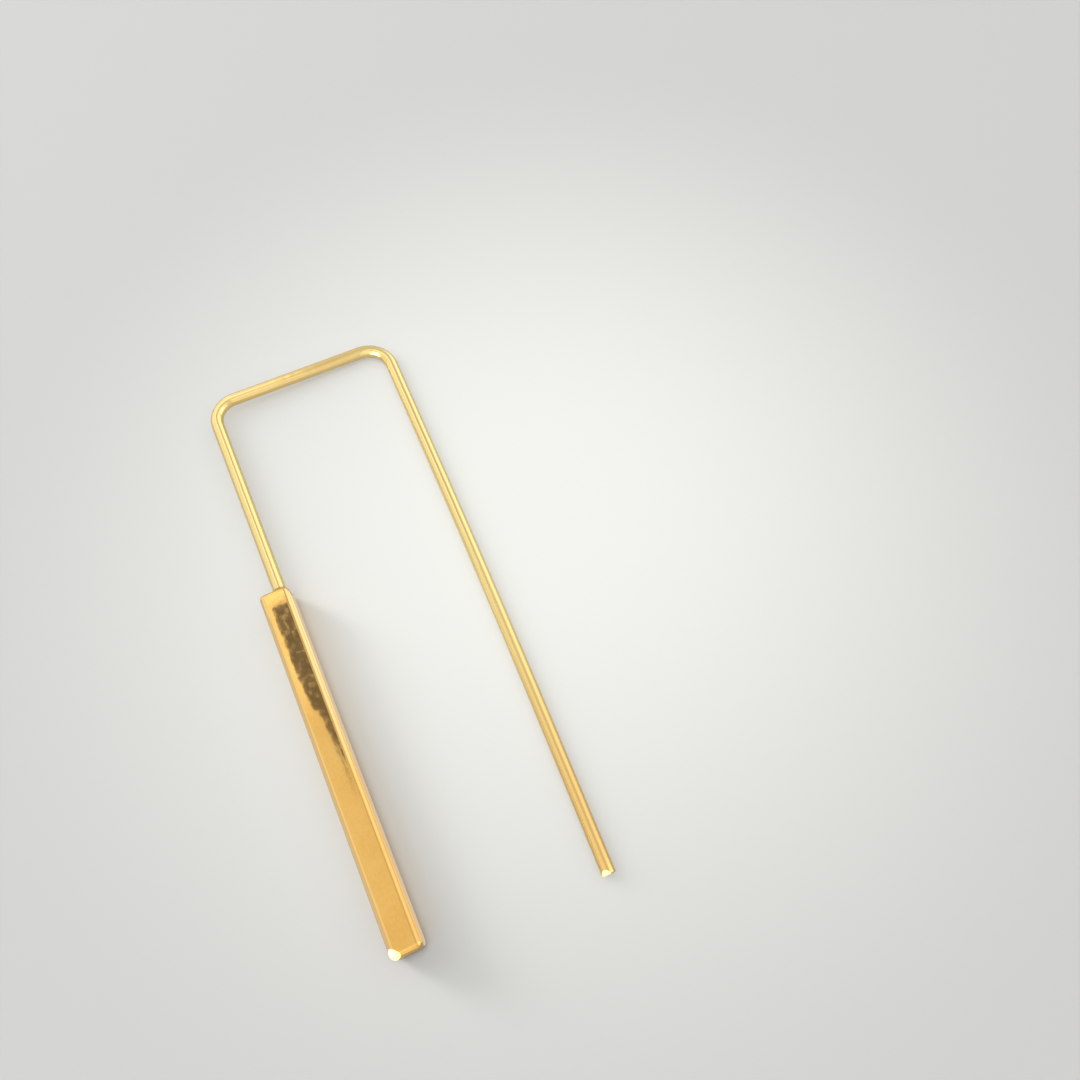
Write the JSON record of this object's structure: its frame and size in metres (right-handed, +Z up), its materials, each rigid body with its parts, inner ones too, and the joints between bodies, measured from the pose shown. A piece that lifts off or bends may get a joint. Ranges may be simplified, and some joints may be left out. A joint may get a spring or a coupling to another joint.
{
  "type": "earring",
  "caption": "Rigid drop earring: a round wire bent square, its long rear arm passing through the ear and a solid square bar on its short front arm.",
  "frame": {"origin": "on the surface that the earring lies on, under the middle of its outer box", "axes": "+Y along the bar towards the bridge, the longest way; +X from the bar across to the rear arm; +Z up, away from the surface"},
  "size_m": [0.0156, 0.0428, 0.0022],
  "materials": {
    "gold_wire": "polished gold plate on drawn round wire",
    "gold_bar": "polished gold plate, softly rounded edges, slightly wavy polish"
  },
  "bodies": {
    "root": {"ear_wire": "gold_wire", "bar": "gold_bar"}
  },
  "joints": []
}
